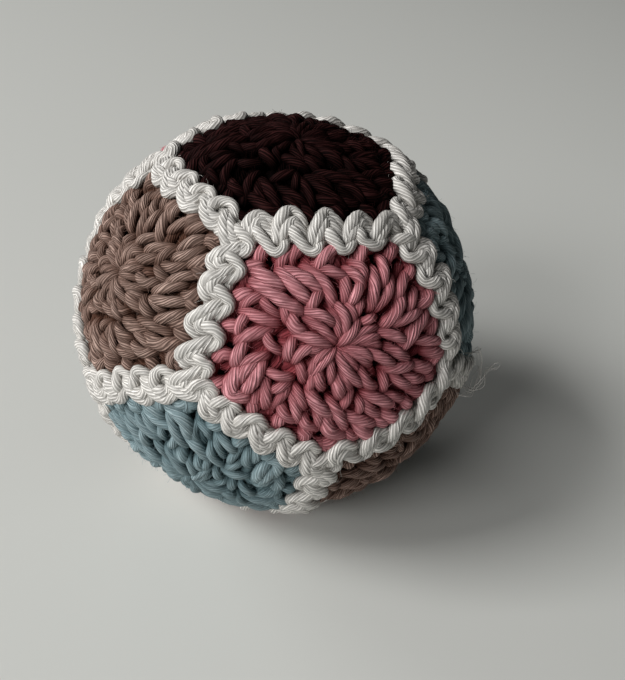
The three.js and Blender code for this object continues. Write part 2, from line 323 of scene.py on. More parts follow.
def twisted_yarn():
    """Sweeps round strands along chains of edges, turning as they go. Each point of a strand
    keeps where it lies round it and along it."""
    tree, given = new_tree(
        "twisted yarn", "GeometryNodeTree", {"Geometry": "Geometry"},
        {
            "Geometry": "Geometry", "Step": "Float", "Sides": "Int", "Turns a metre": "Float",
            "Fibres": "Float", "Fibre length": "Float",
            "Yarn": "Material", "Backing": "Material", "Fibre": "Material",
        },
    )

    def named(name, kind):
        named_node = add(tree, "GeometryNodeInputNamedAttribute", {"Name": name}, data_type=kind)
        return named_node["Attribute"]

    def keep(geometry, name, kind, value):
        store = add(tree, "GeometryNodeStoreNamedAttribute", {
            "Geometry": geometry, "Name": name, "Value": value,
        }, data_type=kind, domain="POINT")
        return store["Geometry"]

    parted = add(tree, "GeometryNodeSeparateGeometry", {
        "Geometry": given["Geometry"], "Selection": named("fabric", "BOOLEAN"),
    }, domain="POINT")
    curves = add(tree, "GeometryNodeMeshToCurve", {0: parted["Inverted"]})
    thick = add(tree, "GeometryNodeSetCurveRadius", {
        "Curve": curves[0], "Radius": named("thick", "FLOAT"),
    })
    even = add(tree, "GeometryNodeResampleCurve", {
        "Curve": thick["Curve"], "Length": given["Step"],
    }, mode="LENGTH")
    along = add(tree, "GeometryNodeSplineParameter", {})["Length"]
    run = keep(even["Curve"], "along", "FLOAT", along)
    turns = add(tree, "ShaderNodeMath", {0: along, 1: given["Turns a metre"]}, operation="MULTIPLY")
    angle = add(tree, "ShaderNodeMath", {
        0: turns[0], 1: 2 * math.pi, 2: named("turn", "FLOAT"),
    }, operation="MULTIPLY_ADD")
    tilt = add(tree, "GeometryNodeSetCurveTilt", {"Curve": run, "Tilt": angle[0]})
    section = add(tree, "GeometryNodeCurvePrimitiveCircle", {
        "Resolution": given["Sides"], "Radius": 1.0,
    })
    place = add(tree, "GeometryNodeInputPosition", {})["Position"]
    sweep = add(tree, "GeometryNodeCurveToMesh", {
        "Curve": tilt["Curve"],
        "Profile Curve": keep(section["Curve"], "around", "FLOAT_VECTOR", place),
        "Scale": add(tree, "GeometryNodeInputRadius", {})["Radius"],
        "Fill Caps": True,
    })
    smooth = add(tree, "GeometryNodeSetShadeSmooth", {0: sweep["Mesh"]})
    yarn = add(tree, "GeometryNodeSetMaterial", {"Geometry": smooth[0], "Material": given["Yarn"]})
    cloth = add(tree, "GeometryNodeSetMaterial", {
        "Geometry": parted["Selection"], "Material": given["Backing"],
    })
    fuzz = add(tree, "GeometryNodeGroup", {
        "Surface": sweep["Mesh"], "Density": given["Fibres"], "Length": given["Fibre length"],
        "Thickness": HAIR_RADIUS, "Seed": HAIR_SEED, "Material": given["Fibre"],
    }, node_tree=STRAY_FIBRES)
    whole = tree.nodes.new("GeometryNodeJoinGeometry")
    for part in (fuzz, cloth, yarn):
        tree.links.new(part["Geometry"], whole.inputs["Geometry"])
    real = add(tree, "GeometryNodeRealizeInstances", {"Geometry": whole.outputs["Geometry"]})
    add(tree, "NodeGroupOutput", {"Geometry": real["Geometry"]})
    return tree


TWISTED_YARN = twisted_yarn()


STRAND_SHIFT = 97.0      # sets the noise on one strand apart from that on the next
# Noise on a strand: how fast it changes round it and in each metre along it, and its detail.
PLIES_STRAY = (1.6, 330.0, 1.0)
FURROWS_FADE = (1.2, 260.0, 1.0)
PLIES_STREAK = (1.7, 300.0, 1.0)
FIBRES_SHOW = (7.0, 1300.0, 2.0)
# What is taken of a noise, of a ply's painted light, of the painted depth shade or of a strand's own
# random tone, at its least and its most.
FURROW_CUT = (0.25, -1.25)
STREAK_HEIGHT = (0.6, 1.4)
PAINTED_PLY_LIGHT = (0.65, 1.0)
PAINTED_DEPTH_SHADE_MIX = (0.15, 1.0)
FIBRE_LEVEL = (0.6, 1.4)
STRAND_LEVEL = (-0.08, 0.08)
PAINTED_DEPTH_SHADE_LEVEL = (0.62, 1.0)
# Painted depth shade: from the ball's centre to where it starts to lift off the yarn and to where it
# is gone, m.
PAINTED_DEPTH_SHADE_SPAN = {"From Min": 0.0383, "From Max": 0.0402}
PLY_MIDDLE = 0.5         # height halfway from a furrow to the crown of a ply
# Painted light on the crowns of the plies: how sharply it gathers there, how strong it is, and its
# most.
PLY_SHARPNESS = 1.8
PLY_STRENGTH = 2.4
BRIGHTEST_PLY = 1.15
FIBRE_HEIGHT = 0.9
FIBRE_ROUGHNESS = 0.2
RELIEF_DEPTH = 0.00009   # of the furrows on a plump strand, m


def cotton_shading():
    """Colour, gloss and relief of plied cotton, from where a point lies on its strand and how deep;
    its colour holds painted light on the ply crowns and painted shade in the furrows and deep down.
    """
    tree, given = new_tree(
        "plied cotton", "ShaderNodeTree",
        {"Color": "Color", "Roughness": "Float", "Normal": "Vector"},
        {
            "Lit": "Color", "Painted shade": "Color", "Furrow": "Float", "Plies": "Float",
            "Drift": "Float", "Gloss": "Float",
        },
    )

    def math_node(operation, *values):
        return add(tree, "ShaderNodeMath", dict(enumerate(values)), operation=operation)[0]

    def from_to(value, least, most):
        return math_node("MULTIPLY_ADD", value, most - least, least)

    def attribute(name, output):
        return add(tree, "ShaderNodeAttribute", {}, attribute_name=name)[output]

    where = add(tree, "ShaderNodeSeparateXYZ", {0: attribute("around", "Vector")})
    x, y = where["X"], where["Y"]
    along = attribute("along", "Fac")
    shade = attribute("shade", "Fac")
    strand = math_node("MULTIPLY", shade, STRAND_SHIFT)

    def noise(detail, *place):
        spot = add(tree, "ShaderNodeCombineXYZ", dict(enumerate(place)))[0]
        texture = {"Scale": 1.0, "Detail": detail, "Vector": spot}
        return add(tree, "ShaderNodeTexNoise", texture)["Fac"]

    def noise_round(fast, each_metre, detail):
        first = math_node("MULTIPLY_ADD", x, fast, strand)
        second = math_node("MULTIPLY", y, fast)
        return noise(detail, first, second, math_node("MULTIPLY", along, each_metre))

    def noise_across(value, fast, each_metre, detail):
        first = math_node("MULTIPLY", value, fast)
        return noise(detail, first, math_node("MULTIPLY", along, each_metre), strand)

    turns = math_node("DIVIDE", math_node("ARCTAN2", y, x), 2 * math.pi)
    phase = math_node("MULTIPLY", turns, given["Plies"])
    phase = math_node("MULTIPLY_ADD", noise_round(*PLIES_STRAY), given["Drift"], phase)
    wave = math_node("COSINE", math_node("MULTIPLY", phase, 2 * math.pi))
    cut = from_to(noise_across(y, *FURROWS_FADE), *FURROW_CUT)
    crown = math_node("MULTIPLY_ADD", wave, cut, PLY_MIDDLE)
    streak = noise_across(math_node("FLOOR", phase), *PLIES_STREAK)
    fibres = noise_round(*FIBRES_SHOW)
    # Painted shade: the nearer the yarn lies to the ball's centre, the darker its colour.
    spot = add(tree, "ShaderNodeTexCoord", {})["Object"]
    from_centre = {0: spot, 1: BALL_CENTRE}
    distance = add(tree, "ShaderNodeVectorMath", from_centre, operation="DISTANCE")["Value"]
    rise = add(tree, "ShaderNodeMapRange", {**PAINTED_DEPTH_SHADE_SPAN, "Value": distance})[0]

    height = math_node("MULTIPLY", crown, from_to(streak, *STREAK_HEIGHT))
    height = math_node("ADD", height, math_node("MULTIPLY", fibres, FIBRE_HEIGHT))
    thickness = math_node("DIVIDE", attribute("thick", "Fac"), YARN * MM)
    height = math_node("MULTIPLY", height, thickness)
    relief = {"Strength": 1.0, "Distance": RELIEF_DEPTH, "Height": height}
    # Painted light on the ply crowns, varied from ply to ply by a random streak.
    ply = math_node("POWER", crown, PLY_SHARPNESS)
    ply = math_node("MULTIPLY", ply, math_node("MULTIPLY", streak, PLY_STRENGTH))
    ply = math_node("MINIMUM", ply, BRIGHTEST_PLY)
    # Painted light and shade: the mix leans to the lit colour on ply crowns and high-lying yarn, to
    # the painted shade colour in furrows and deep down.
    lit = math_node("MULTIPLY", from_to(ply, *PAINTED_PLY_LIGHT), from_to(rise, *PAINTED_DEPTH_SHADE_MIX))
    blend = {"Factor": lit, 6: given["Painted shade"], 7: given["Lit"]}
    blended = add(tree, "ShaderNodeMix", blend, data_type="RGBA")[2]
    # Random fibre and strand tones, darkened by painted shade on deep-lying yarn and in the furrows
    # between plies.
    level = math_node("ADD", from_to(fibres, *FIBRE_LEVEL), from_to(shade, *STRAND_LEVEL))
    level = math_node("MULTIPLY", level, from_to(rise, *PAINTED_DEPTH_SHADE_LEVEL))
    furrow = given["Furrow"]
    painted_furrow_shade = math_node("MULTIPLY_ADD", ply, math_node("SUBTRACT", 1.0, furrow), furrow)
    light = {0: blended, "Scale": math_node("MULTIPLY", level, painted_furrow_shade)}
    add(tree, "NodeGroupOutput", {
        "Color": add(tree, "ShaderNodeVectorMath", light, operation="SCALE")[0],
        "Roughness": math_node("MULTIPLY_ADD", fibres, FIBRE_ROUGHNESS, given["Gloss"]),
        "Normal": add(tree, "ShaderNodeBump", relief)["Normal"],
    })
    return tree


PLIED_COTTON = cotton_shading()
SHEEN_ROUGHNESS = 0.35
BARE_ROUGHNESS = 0.8           # of the backing and the stray fibres
BACKING_GRAIN = 900            # of its mottling, in each metre
BACKING_PAINTED_SHADE = (0.1, 0.3)    # its painted shade, darkest and lightest, as shares of the painted shade colour
FIBRE_LIGHT = 0.6              # how near a stray fibre's colour comes to the lit one


def cotton(name):
    """The twist of one cotton, and its yarn, backing and fibre materials."""
    lit, painted_shade_colour, furrow, plies, stray, twist, sheen, gloss, specular = COTTON_KINDS[name]
    made = []
    for part in ("yarn", "backing", "fibre"):
        m = bpy.data.materials.new(f"{name}_{part}")
        m.use_nodes = True
        tree = m.node_tree
        surface = tree.nodes["Principled BSDF"]
        fill(tree, surface, {
            "Sheen Weight": sheen, "Sheen Roughness": SHEEN_ROUGHNESS, "Sheen Tint": (*lit, 1),
            "Specular IOR Level": specular, "Roughness": BARE_ROUGHNESS,
        })
        if part == "yarn":
            shading = add(tree, "ShaderNodeGroup", {
                "Lit": (*lit, 1), "Painted shade": (*painted_shade_colour, 1), "Furrow": furrow, "Plies": plies,
                "Drift": stray, "Gloss": gloss,
            }, node_tree=PLIED_COTTON)
            fill(tree, surface, {
                "Base Color": shading["Color"], "Roughness": shading["Roughness"],
                "Normal": shading["Normal"],
            })
        elif part == "backing":
            # The backing is painted in deep shade: a mottle between a tenth and three tenths of the
            # painted shade colour.
            spot = add(tree, "ShaderNodeTexCoord", {})["Object"]
            grain = add(tree, "ShaderNodeTexNoise", {"Scale": BACKING_GRAIN, "Vector": spot})
            dark, pale = [(*[c * share for c in painted_shade_colour], 1) for share in BACKING_PAINTED_SHADE]
            mottled = {"Factor": grain["Fac"], 6: dark, 7: pale}
            ramp = add(tree, "ShaderNodeMix", mottled, data_type="RGBA")
            fill(tree, surface, {"Base Color": ramp[2]})
        else:
            # A stray fibre takes a colour between the lit colour and the painted shade colour.
            colour = [FIBRE_LIGHT * a + (1 - FIBRE_LIGHT) * b for a, b in zip(lit, painted_shade_colour)]
            fill(tree, surface, {"Base Color": (*colour, 1)})
        made.append(m)
    return twist, made


COTTONS = {name: cotton(name) for name in COTTON_KINDS}
YARN_STEP = 0.0005       # from one ring of a strand's faces to the next, m
YARN_SIDES = 12
PRESSED_BELOW = 0.0004   # yarn under this height is pressed together by the ball's weight, m
PRESSED_SOFTLY = 0.0012  # yarn that would lie so much lower keeps a third of that height, m


def finish_yarn(strands, name, colour, slot, fibres, fibre_length):
    """Makes yarn of the strands and hands it over as one piece that stands for its node."""
    twist, materials = COTTONS[colour]
    me = strands.mesh(name + "_paths")
    piece = bpy.data.objects.new(name + "_paths", me)
    scene.collection.objects.link(piece)
    modifier = piece.modifiers.new("yarn", "NODES")
    modifier.node_group = TWISTED_YARN
    sockets = {s.name: s.identifier for s in TWISTED_YARN.interface.items_tree if s.in_out == "INPUT"}
    values = {
        "Step": YARN_STEP, "Sides": YARN_SIDES, "Turns a metre": twist,
        "Fibres": fibres, "Fibre length": fibre_length,
        **dict(zip(("Yarn", "Backing", "Fibre"), materials)),
    }
    for key, value in values.items():
        modifier[sockets[key]] = value
    worked = piece.evaluated_get(bpy.context.evaluated_depsgraph_get())
    solid = bpy.data.meshes.new_from_object(worked)
    bpy.data.objects.remove(piece)
    bpy.data.meshes.remove(me)
    solid.name = name + "_look"
    co = np.zeros(len(solid.vertices) * 3)
    solid.vertices.foreach_get("co", co)
    co = co.reshape(-1, 3)
    low = co[:, 2] < PRESSED_BELOW
    co[low, 2] = PRESSED_BELOW * np.exp((co[low, 2] - PRESSED_BELOW) / PRESSED_SOFTLY)
    solid.vertices.foreach_set("co", co.ravel())
    look = bpy.data.objects.new(name + "_look", solid)
    scene.collection.objects.link(look)
    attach(look, "root")
    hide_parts(name)


# The strands that show on a worked panel, in mm from its middle with a corner at +x: where a
# strand comes up, its middle, where it dives again, and its width.
SHOWN_STRANDS = (
    # first round, from the drawn-up ring outwards
    (-0.3, 0.5, -0.9, 2.6, -2.0, 6.4, 1.3), (0.3, 0.6, 0.4, 2.6, -0.6, 5.2, 1.2),
    (0.3, 3.4, -0.6, 4.9, -2.0, 6.6, 1.4), (-2.1, 8.0, -0.4, 7.1, 1.5, 6.2, 1.7),
    (-4.3, 8.1, -3.1, 7.0, -1.8, 5.4, 1.5), (-5.1, 6.1, -3.4, 5.6, -1.3, 4.5, 1.8),
    (-5.2, 4.2, -3.1, 3.1, -0.8, 1.5, 1.5), (-8.4, 4.7, -6.6, 3.7, -4.5, 2.6, 2.1),
    (-8.3, 2.4, -6.2, 2.1, -3.6, 1.6, 1.6), (-8.2, 0.5, -5.0, 1.0, -1.0, 0.3, 1.6),
    (-10.6, -1.3, -8.4, -0.5, -5.8, -1.1, 1.9), (-5.9, -0.5, -3.2, -0.5, -0.8, -0.3, 1.4),
    (-6.2, -2.7, -3.6, -2.0, -0.9, -1.1, 1.5), (-9.2, -5.8, -6.8, -4.9, -4.1, -4.1, 1.9),
    (-5.4, -3.4, -3.4, -3.0, -1.0, -1.6, 1.4), (-5.0, -6.0, -3.2, -5.2, -1.6, -3.0, 1.6),
    (-3.2, -6.8, -1.8, -5.0, -0.6, -2.0, 1.5), (-1.6, -7.4, -0.6, -5.2, -0.2, -2.2, 1.5),
    (0.1, -1.2, 0.6, -3.2, 1.4, -5.8, 1.7), (0.9, -6.2, 0.6, -7.2, 0.2, -8.4, 1.6),
    (1.6, -5.2, 3.6, -6.2, 5.7, -6.7, 1.5), (1.0, -2.8, 3.8, -4.7, 6.4, -5.2, 1.7),
    (0.8, -1.5, 3.2, -3.0, 6.2, -3.9, 1.7), (2.6, -6.6, 3.6, -7.6, 4.0, -9.0, 1.6),
    (4.0, -2.5, 6.2, -1.7, 8.5, -0.2, 1.8), (1.0, -0.6, 4.0, -0.4, 7.5, 0.6, 1.7),
    (8.2, -1.1, 9.2, -2.2, 9.8, -4.5, 1.8), (1.0, 0.6, 3.6, 1.9, 6.3, 3.7, 1.9),
    (5.3, 2.6, 7.2, 3.3, 9.5, 2.3, 2.0), (0.8, 1.4, 2.2, 3.4, 3.4, 5.0, 1.4),
    (2.1, 7.0, 2.8, 5.2, 2.3, 2.6, 1.5), (3.2, 7.5, 4.4, 6.6, 5.3, 4.9, 1.9),
    (-0.4, 9.5, 1.2, 10.7, 2.9, 11.9, 1.7),
    # second round
    (-3.1, 16.5, -1.0, 14.9, 1.5, 13.2, 2.0), (-2.7, 18.4, -1.2, 17.5, 0.3, 15.4, 1.9),
    (-4.0, 15.8, -2.9, 13.0, -1.6, 10.5, 1.6), (-9.4, 13.7, -6.5, 12.3, -3.3, 11.1, 1.7),
    (-8.7, 14.1, -6.5, 14.7, -4.2, 14.0, 1.8), (-0.9, 13.4, -0.8, 12.0, -1.0, 10.2, 1.5),
    (-12.7, 11.8, -10.6, 12.7, -8.5, 12.1, 1.8), (-12.9, 11.4, -10.6, 10.2, -8.1, 9.2, 1.6),
    (-7.2, 11.2, -5.0, 10.4, -2.6, 9.7, 1.7), (-17.3, 8.3, -14.0, 10.0, -10.6, 8.6, 2.4),
    (-15.3, 7.6, -12.0, 6.9, -8.5, 6.6, 1.9), (-10.8, 8.1, -8.0, 8.7, -4.8, 8.4, 2.2),
    (-17.7, 9.6, -17.2, 11.4, -16.7, 13.0, 1.9), (-20.0, 3.2, -18.2, 4.9, -15.4, 5.2, 2.3),
    (-17.6, 2.5, -15.2, 4.1, -12.5, 5.8, 2.1), (-13.5, 3.7, -12.0, 2.9, -10.4, 2.1, 1.6),
    (-16.5, 0.8, -14.0, 1.6, -11.1, 1.9, 1.9), (-10.9, 5.7, -9.6, 4.2, -8.5, 2.5, 1.8),
    (-15.7, -1.9, -13.4, -0.9, -10.7, 0.5, 2.0), (-12.3, -2.1, -10.8, -2.8, -9.1, -3.7, 1.7),
    (-17.1, -4.5, -14.8, -3.2, -12.7, -1.9, 1.8), (-19.6, -2.2, -18.0, -0.7, -16.1, -0.1, 2.3),
    (-15.1, -6.5, -13.0, -5.2, -10.5, -4.6, 2.0), (-16.5, -9.3, -14.4, -7.6, -12.3, -6.5, 1.9),
    (-19.3, -9.2, -17.8, -7.4, -15.5, -6.1, 2.2), (-16.1, -11.6, -14.2, -10.0, -12.1, -8.7, 2.1),
    (-16.1, -15.2, -14.4, -13.4, -12.3, -12.1, 2.2), (-14.3, -16.2, -11.6, -13.8, -8.9, -11.5, 1.9),
    (-11.9, -8.7, -10.4, -6.4, -8.9, -4.5, 1.8), (-10.5, -8.3, -8.0, -7.4, -5.7, -6.7, 2.0),
    (-7.3, -9.7, -5.0, -8.8, -2.7, -7.5, 1.7), (-7.9, -8.8, -7.0, -12.0, -6.8, -15.8, 2.3),
    (-9.5, -18.0, -8.8, -16.0, -8.1, -13.8, 1.7), (-3.3, -9.8, -4.2, -12.4, -5.3, -15.4, 1.7),
    (-2.2, -8.6, -1.8, -11.4, -0.5, -14.6, 2.0), (-4.4, -19.4, -4.8, -17.4, -4.3, -15.4, 2.0),
    (-3.7, -13.2, -2.6, -15.0, -1.7, -17.2, 1.8), (1.2, -9.8, 1.8, -12.6, 3.5, -15.6, 1.9),
    (-0.3, -13.4, 1.0, -15.6, 1.7, -18.0, 1.9), (2.1, -9.2, 4.6, -12.0, 7.1, -14.4, 2.0),
    (3.7, -13.6, 5.6, -15.4, 7.7, -17.2, 1.9), (5.7, -6.6, 7.6, -8.2, 9.9, -9.9, 2.0),
    (5.2, -7.2, 5.9, -8.8, 6.6, -10.4, 1.7), (6.1, -10.7, 8.2, -11.4, 10.5, -11.0, 1.8),
    (6.9, -12.0, 8.8, -13.0, 10.7, -13.0, 1.8), (9.9, -13.2, 11.0, -15.2, 11.7, -17.4, 1.7),
    (9.3, -10.0, 11.8, -8.6, 14.5, -7.1, 2.0), (14.1, -7.6, 14.8, -9.4, 14.8, -12.2, 1.9),
    (6.7, -4.8, 10.8, -6.0, 14.9, -5.3, 1.9), (10.3, -4.7, 13.4, -3.8, 16.5, -1.7, 2.1),
    (17.3, -1.4, 18.3, -3.4, 18.4, -5.6, 2.0), (10.1, -1.7, 13.0, -1.2, 16.5, -0.9, 2.0),
    (8.9, 0.5, 13.0, 2.4, 17.4, 4.2, 2.1), (14.3, 0.7, 16.8, 1.8, 19.1, 2.7, 2.2),
    (8.7, 3.8, 10.4, 3.1, 12.1, 1.9, 1.5), (10.5, 4.4, 12.6, 5.0, 14.9, 5.0, 1.6),
    (15.1, 8.6, 15.4, 6.8, 14.7, 4.6, 1.8), (9.5, 5.5, 12.0, 7.4, 14.9, 9.1, 2.0),
    (5.1, 7.9, 7.0, 8.5, 9.1, 8.0, 1.6), (11.9, 12.0, 12.8, 10.8, 13.5, 9.2, 1.7),
    (10.6, 12.8, 10.3, 10.4, 9.1, 7.4, 1.9), (7.1, 15.9, 8.6, 14.2, 9.5, 12.2, 2.0),
    (6.6, 15.7, 6.5, 13.2, 5.5, 10.6, 1.8), (3.9, 17.2, 5.2, 15.0, 5.4, 12.4, 1.9),
    (1.8, 17.4, 2.8, 14.9, 4.7, 12.0, 2.2), (0.7, 18.2, 3.0, 19.2, 6.0, 15.8, 2.2),
)
DIVE = 0.6               # how far beyond its ends a shown strand dives under, mm
DIVE_ROW = (-1.9, 0.7)   # its lift there in mm, and its thickness as a share
END_WIDTH = 1.02         # where it comes up and dives, as a share of its own width
MIDDLE_WIDTH = 1.16
END_DROP = 0.7           # from its middle to its ends, mm
SHOWN_LIFT = (0.25, 0.2)          # of its middle: usual and scatter, mm
SHOWN_INSETS = (2.6, 4.2, 2.6)    # its start, middle and end stay so far inside a panel, mm
CLOSER_WIDTH = 0.92      # the other panels' strands lie closer than the front one's
# Under them, the strands of the stitches' backs: share of the way from foot to top, sideways in
# mm, lift in mm, thickness share.
FRONT_LEG = (
    (-0.08, -0.7, -3.0, 0.7), (0.06, -0.35, -1.7, 0.85), (0.28, 0.15, -1.3, 0.95),
    (0.6, 0.8, -1.3, 0.95), (0.9, 0.6, -1.4, 0.9), (1.05, 0.2, -2.2, 0.7),
)
BACK_LEG = (
    (-0.02, -1.7, -3.0, 0.7), (0.12, -1.65, -2.1, 0.85), (0.4, -1.4, -1.8, 0.95),
    (0.75, -1.1, -1.7, 0.95), (0.98, -0.9, -1.8, 0.8), (1.08, -0.8, -2.2, 0.7),
)
LEG_SCATTER = (0.02, 0.2, 0.16, 0.06)


def shown_strand(strands, panel, row, turn, wobble):
    """One strand of SHOWN_STRANDS, turned about the panel's middle."""
    rng = strands.rng
    ends = np.array(row[:6]).reshape(3, 2) + rng.normal(0, wobble, (3, 2))
    if panel != "front":
        for end, inset in zip(ends, SHOWN_INSETS):
            end *= min(1, edge_reach(math.atan2(end[1], end[0]), inset) / math.hypot(*end))
    c, s = math.cos(turn), math.sin(turn)
    start, middle, end = ends @ np.array(((c, s), (-s, c)))
    before = start + unit(start - middle) * DIVE
    after = end + unit(end - middle) * DIVE
    closer = 1 if panel == "front" else CLOSER_WIDTH
    width = row[6] / 2 / YARN * (1 + rng.normal(0, UNEVEN)) * closer
    lift = rng.normal(*SHOWN_LIFT)
    under, thin = DIVE_ROW
    path = smooth_path([
        (*before, under, thin * width),
        (*start, lift - END_DROP, END_WIDTH * width),
        (*middle, lift, MIDDLE_WIDTH * width),
        (*end, lift - END_DROP, END_WIDTH * width),
        (*after, under, thin * width),
    ])
    strands.chain(on_panel(panel, path), path[:, 3] * YARN * MM)


# Near a panel's middle the strands of round one crowd: they lie closer, thin out and dip.
CROWD_REACH = 6.5        # from here out they keep their places sideways, mm
CROWD_SQUEEZE = 0.15     # the least share of these
CROWD_WIDTH = 0.42       # the least share of their thickness
FILLING_OUT = 11         # how far out it takes them to gain a whole share, mm
DIP_REACH = 2.5          # they dip inside this, mm
DIP_WHOLE = 2            # the part of that over which they go deeper, mm
DIP_SLOPE = 0.35


def stitch(strands, panel, foot, top, rows, crowded=False):
    """One strand of a stitch from foot to top, squeezed near the panel's middle."""
    way = top - foot
    length = np.linalg.norm(way)
    way = way / length
    side = np.array((-way[1], way[0]))
    rows = np.array(rows, float) + strands.rng.normal(0, 1, (len(rows), 4)) * np.array(LEG_SCATTER)
    middle = foot + rows[:, :1] * length * way
    if crowded:
        reach = np.linalg.norm(middle, axis=1)
        rows[:, 1] *= np.clip(reach / CROWD_REACH, CROWD_SQUEEZE, 1)
        rows[:, 3] *= np.clip(CROWD_WIDTH + reach / FILLING_OUT, CROWD_WIDTH, 1)
        rows[:, 2] -= np.clip(DIP_REACH - reach, 0, DIP_WHOLE) * DIP_SLOPE
    flat = middle + rows[:, 1:2] * side
    path = smooth_path(np.column_stack([flat, rows[:, 2:]]))
    strands.chain(on_panel(panel, path), path[:, 3] * YARN * MM)


# The tops of the last stitches show between the white loops: along and across the join in mm,
# lift in mm, thickness share.
RIM_KNOB = (
    (-0.9, 6.0, -2.0, 0.85), (-0.5, 5.0, -0.95, 0.95), (0.0, 4.1, -0.65, 1.05),
    (0.4, 3.2, -1.0, 1.0), (0.8, 2.3, -2.1, 0.85),
)
KNOB_SCATTER = (0.2, 0.15, 0.12, 0.05)
# Where a knob sits between two loops, in stitches, on the side that the loops reach over first
# and on the other.
FIRST_GAP = 0.27
OTHER_GAP = 0.7
SEAM_STITCHES = 5
EDGE = 41.81             # angle of a side of a panel, degrees
SEAM_RADIUS = 39.35      # where a seam strand's middle lies when its lift is 0, mm
SEAM_PITCH = math.radians(EDGE) * BALL_RADIUS / SEAM_STITCHES
SEAM_LOOP = 2.9          # how far a loop reaches over a panel, mm
# Seams worked looser or tighter than the rest, or from their other side: how far their loops
# reach, as a share of it and negative from the other side, their slant, and stitches moved along.
SEAM_WORK = {
    ("top", "front"): (1.1, 0.0, -0.22),
    ("top", "left"): (-0.94, 0.4, 0.25),
    ("front", "left"): (-0.88, 0.2, 0.25),
    ("front", "low_front"): (-0.95, 0.1, 0.18),
    ("front", "right"): (-1.08, 0.25, 0.15),
    ("left", "low_front"): (-0.95, 0.25, 0.2),
}
PLAIN_WORK = (1.0, 0.0, 0.0)


def on_seam(a, b, flat):
    """Rows of (along, across, lift, ...) in mm on the join of two panels, to points in metres."""
    up = unit(DIRECTIONS[a] + DIRECTIONS[b])
    along = unit(np.cross(DIRECTIONS[a], DIRECTIONS[b]))
    across = np.cross(up, along)
    u, v = flat[:, 0] / BALL_RADIUS, flat[:, 1] / BALL_RADIUS
    upward = np.sin(u)[:, None] * along + np.cos(u)[:, None] * up
    direction = np.cos(v)[:, None] * upward + np.sin(v)[:, None] * across
    return np.array(BALL_CENTRE) + (SEAM_RADIUS + flat[:, 2:3]) * MM * wandered(direction)


ROUND_ONE = 10
RING_HOLE = 0.7          # mm
ROUND_ONE_REACH = 9.4    # mm
ROUND_ONE_TURN = 7       # bearing of the first stitch, degrees
ROUND_ONE_SCATTER = 0.03
ROUND_ONE_LEAN = (-0.2, 0.1)      # of a stitch's foot and top, radians


def round_one(strands, panel):
    """Ten stitches, from just outside the drawn-up ring to where round two begins."""
    for i in range(ROUND_ONE):
        bearing = math.radians(360 / ROUND_ONE * i + ROUND_ONE_TURN)
        bearing += strands.rng.normal(0, ROUND_ONE_SCATTER)
        foot = polar(RING_HOLE, bearing + ROUND_ONE_LEAN[0])
        top = polar(ROUND_ONE_REACH, bearing + ROUND_ONE_LEAN[1])
        for rows in (BACK_LEG, FRONT_LEG):
            stitch(strands, panel, foot, top, rows, crowded=True)


SIDE_STITCHES = 4
ROUND_TWO = SIDES * SIDE_STITCHES
ROUND_TWO_PITCH = 5.6    # mm
ROUND_TWO_REACH = 18.6   # from a panel's middle to the tops of its stitches, mm
ROUND_TWO_INSET = 3.2    # mm
ROUND_TWO_SCATTER = 0.02
LEAN = math.radians(11)
FOOT_LEAN = 0.9          # as shares of it
TOP_LEAN = 0.4


def round_two(strands, panel):
    """Four stitches along each side, spread evenly and leaning a little."""
    for i in range(ROUND_TWO):
        side, place = divmod(i, SIDE_STITCHES)
        middle = math.radians(360 / SIDES * (side + 0.5))
        aside = (place - (SIDE_STITCHES - 1) / 2) * ROUND_TWO_PITCH
        bearing = middle + math.atan2(aside, ROUND_TWO_REACH) + LEAN * TOP_LEAN
        scatter = strands.rng.normal(0, ROUND_TWO_SCATTER)
        top = polar(edge_reach(bearing, ROUND_TWO_INSET), bearing + scatter)
        foot = polar(ROUND_ONE_REACH, math.radians(360 / ROUND_TWO * (i + 0.5)) - LEAN * FOOT_LEAN)
        for rows in (BACK_LEG, FRONT_LEG):
            stitch(strands, panel, foot, top, rows)


def rim_knobs(strands, panel):
    """The tops of the last stitches, in the gaps between the white loops on all sides."""
    for first, second in JOINS:
        if panel not in (first, second):
            continue
        way = 1 if panel == first else -1
        spread, slant, moved = SEAM_WORK.get((first, second), PLAIN_WORK)
        gap = FIRST_GAP if way * spread > 0 else OTHER_GAP
        between = gap + moved - slant * way * SEAM_LOOP / SEAM_PITCH
        for i in range(SEAM_STITCHES):
            scatter = strands.rng.normal(0, 1, (len(RIM_KNOB), 4)) * np.array(KNOB_SCATTER)
            rows = np.array(RIM_KNOB) + scatter
            place = (i + between - SEAM_STITCHES / 2) * SEAM_PITCH
            path = smooth_path(np.column_stack([rows[:, 0] + place, way * rows[:, 1], rows[:, 2:]]))
            strands.chain(on_seam(first, second, path), path[:, 3] * YARN * MM)


RIM_STEPS = 75
RIM_WAVE = 3
RIM_INSET = (2.9, 0.35)           # usual and how far it waves, mm
RIM_LIFT = (-1.1, 0.45)           # likewise
RIM_WIDTH = 0.95


def rim(strands, panel):
    """The edge of the last round, which runs round under the knobs in waves of three steps."""
    rows = []
    for i in range(RIM_STEPS):
        bearing = math.radians(i * (360 / RIM_STEPS))
        wave = i * 2 * math.pi / RIM_WAVE
        inset = RIM_INSET[0] + RIM_INSET[1] * math.sin(wave)
        lift = RIM_LIFT[0] + RIM_LIFT[1] * math.cos(wave)
        rows.append((*polar(edge_reach(bearing, inset), bearing), lift, RIM_WIDTH))
    path = smooth_path(rows, steps=3, closed=True)
    strands.chain(on_panel(panel, path), path[:, 3] * YARN * MM)


BACKING_RINGS = 9
BACKING_AROUND = 50
BACKING_INSET = 1.2      # mm
BACKING_LIFT = -2.6      # mm
DRAWN_IN = 0.6           # mm
DRAWN_REACH = 3          # mm


